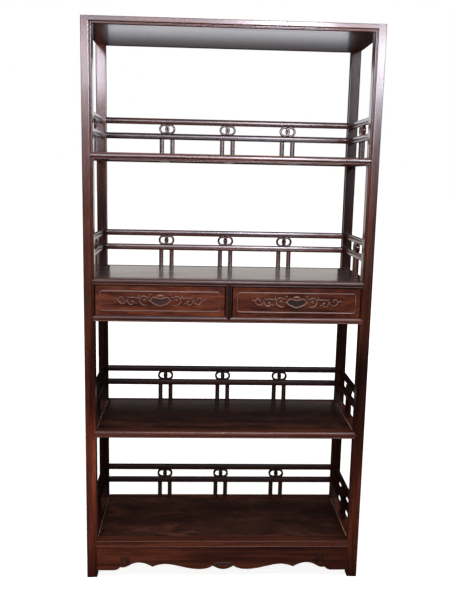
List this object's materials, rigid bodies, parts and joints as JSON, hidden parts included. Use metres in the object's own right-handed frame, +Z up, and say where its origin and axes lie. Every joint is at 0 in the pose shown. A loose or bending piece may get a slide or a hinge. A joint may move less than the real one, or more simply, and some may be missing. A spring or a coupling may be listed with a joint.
{
  "type": "chinese open bookcase",
  "caption": "Tall open hardwood bookcase with bays behind square posts, low ring galleries, a pair of drawers at mid height and a scrolled apron.",
  "frame": {"origin": "on the floor, under the middle of the cabinet", "axes": "+X to the right seen from the front, +Y from front to back, +Z up"},
  "size_m": [0.96, 0.38, 1.89],
  "materials": {
    "frame_wood": "dark red hardwood, polished lacquer",
    "panel_wood": "dark red hardwood, glossy lacquer",
    "gallery_wood": "dark red hardwood, polished lacquer",
    "drawer_front_wood": "reddish brown hardwood, satin lacquer",
    "inner_wood": "plain oiled hardwood"
  },
  "bodies": {
    "cabinet": {"bottom_shelf_back_rail": "frame_wood", "bottom_shelf_battens": "inner_wood", "bottom_shelf_front_rail": "frame_wood", "bottom_shelf_gallery_rails": "gallery_wood", "bottom_shelf_gallery_rings": "gallery_wood", "bottom_shelf_gallery_stiles": "gallery_wood", "bottom_shelf_panel": "panel_wood", "bottom_shelf_side_rails": "frame_wood", "drawer_case_back": "inner_wood", "drawer_case_sides": "inner_wood", "drawer_divider": "frame_wood", "drawer_floor_back_rail": "frame_wood", "drawer_floor_front_rail": "frame_wood", "drawer_floor_panel": "panel_wood", "drawer_floor_side_rails": "frame_wood", "drawer_guides": "inner_wood", "drawer_shelf_back_rail": "frame_wood", "drawer_shelf_front_rail": "frame_wood", "drawer_shelf_gallery_rails": "gallery_wood", "drawer_shelf_gallery_rings": "gallery_wood", "drawer_shelf_gallery_stiles": "gallery_wood", "drawer_shelf_panel": "panel_wood", "drawer_shelf_side_rails": "frame_wood", "front_apron": "frame_wood", "middle_shelf_back_rail": "frame_wood", "middle_shelf_battens": "inner_wood", "middle_shelf_front_rail": "frame_wood", "middle_shelf_gallery_rails": "gallery_wood", "middle_shelf_gallery_rings": "gallery_wood", "middle_shelf_gallery_stiles": "gallery_wood", "middle_shelf_panel": "panel_wood", "middle_shelf_side_rails": "frame_wood", "post_back_left": "frame_wood", "post_back_right": "frame_wood", "post_front_left": "frame_wood", "post_front_right": "frame_wood", "side_aprons": "frame_wood", "top_back_rail": "frame_wood", "top_battens": "inner_wood", "top_front_rail": "frame_wood", "top_panel": "panel_wood", "top_side_rails": "frame_wood", "upper_shelf_back_rail": "frame_wood", "upper_shelf_battens": "inner_wood", "upper_shelf_front_rail": "frame_wood", "upper_shelf_gallery_rails": "gallery_wood", "upper_shelf_gallery_rings": "gallery_wood", "upper_shelf_gallery_stiles": "gallery_wood", "upper_shelf_panel": "panel_wood", "upper_shelf_side_rails": "frame_wood"},
    "left_drawer": {"left_drawer_back": "inner_wood", "left_drawer_bottom": "inner_wood", "left_drawer_front": "drawer_front_wood", "left_drawer_left_side": "inner_wood", "left_drawer_right_side": "inner_wood"},
    "right_drawer": {"right_drawer_back": "inner_wood", "right_drawer_bottom": "inner_wood", "right_drawer_front": "drawer_front_wood", "right_drawer_left_side": "inner_wood", "right_drawer_right_side": "inner_wood"}
  },
  "joints": [
    {"name": "left_drawer_slide", "type": "slide", "parent": "cabinet", "child": "left_drawer", "axis": [0, -1, 0], "range_m": [0, 0.26]},
    {"name": "right_drawer_slide", "type": "slide", "parent": "cabinet", "child": "right_drawer", "axis": [0, -1, 0], "range_m": [0, 0.26]}
  ]
}
